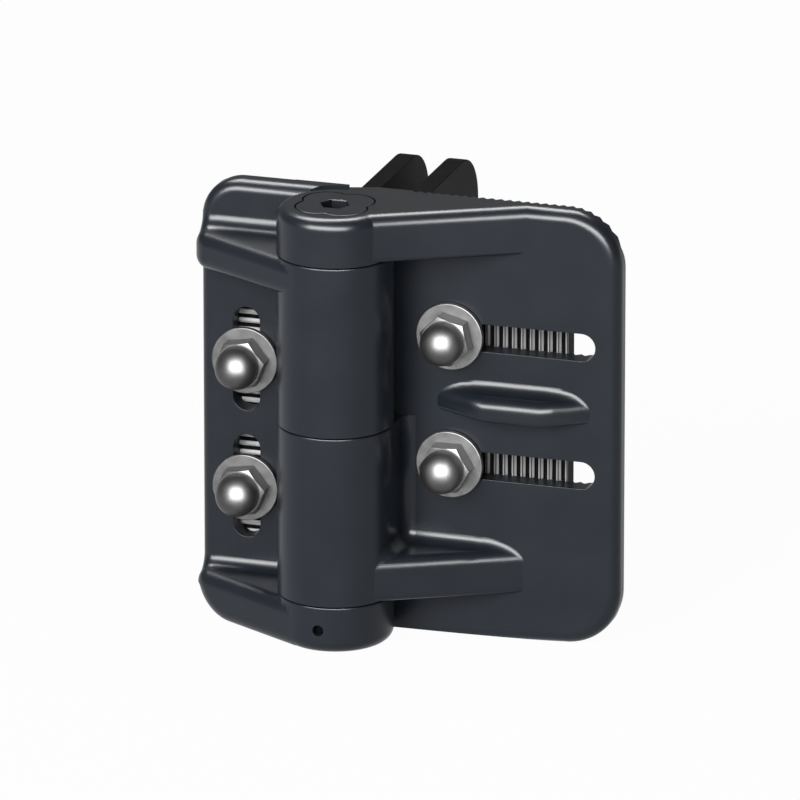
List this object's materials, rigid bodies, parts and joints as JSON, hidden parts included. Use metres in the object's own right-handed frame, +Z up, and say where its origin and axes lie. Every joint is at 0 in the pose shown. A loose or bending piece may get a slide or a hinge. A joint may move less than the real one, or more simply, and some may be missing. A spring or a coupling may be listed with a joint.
{
  "type": "self-closing gate hinge",
  "caption": "Self-closing gate hinge: two ribbed black leaves with slotted plates on toothed angle brackets, joined by a sprung barrel with a lobed tension adjuster on top.",
  "frame": {"origin": "on the back face of the post bracket's plate, half-way between its two studs", "axes": "+Y back towards the post, out of the post bracket's back face; +Z up along the barrel; +X towards the gate"},
  "size_m": [0.1061, 0.0754, 0.11],
  "materials": {
    "black_nylon": "satin moulded glass-filled nylon",
    "black_steel": "powder coated",
    "bright_steel": "plain",
    "washer_steel": "satin",
    "polished_nut": "polished stainless steel",
    "bearing_plastic": "plain acetal",
    "spring_steel": "oiled"
  },
  "bodies": {
    "post": {"post_leaf": "black_nylon", "post_bracket": "black_steel", "post_stud_upper": "bright_steel", "post_stud_lower": "bright_steel", "post_washer_upper": "washer_steel", "post_washer_lower": "washer_steel", "post_nut_upper": "polished_nut", "post_nut_lower": "polished_nut", "hinge_tube": "bright_steel", "thrust_washer_upper": "bearing_plastic", "thrust_washer_lower": "bearing_plastic", "torsion_spring": "spring_steel", "spring_anchor": "bearing_plastic", "anchor_pin": "bright_steel"},
    "gate": {"gate_leaf": "black_nylon", "gate_bracket": "black_steel", "gate_stud_upper": "bright_steel", "gate_stud_lower": "bright_steel", "gate_washer_upper": "washer_steel", "gate_washer_lower": "washer_steel", "gate_nut_upper": "polished_nut", "gate_nut_lower": "polished_nut", "bush_top": "bearing_plastic", "bush_middle": "bearing_plastic", "bush_bottom": "bearing_plastic"},
    "adjuster": {"tension_adjuster": "black_nylon"}
  },
  "joints": [
    {"name": "gate_swing", "type": "hinge", "parent": "post", "child": "gate", "pos_m": [0.026, -0.0204, 0], "axis": [0, 0, -1], "range_deg": [0, 180], "stiffness_Nm_per_rad": 0.46, "springref_deg": -89.95, "deforming": ["torsion_spring"]},
    {"name": "adjuster_push", "type": "slide", "parent": "gate", "child": "adjuster", "axis": [0, 0, -1], "range_m": [0, 0.0028], "stiffness_N_per_m": 11000, "springref_m": -0.001, "deforming": ["torsion_spring"]}
  ]
}
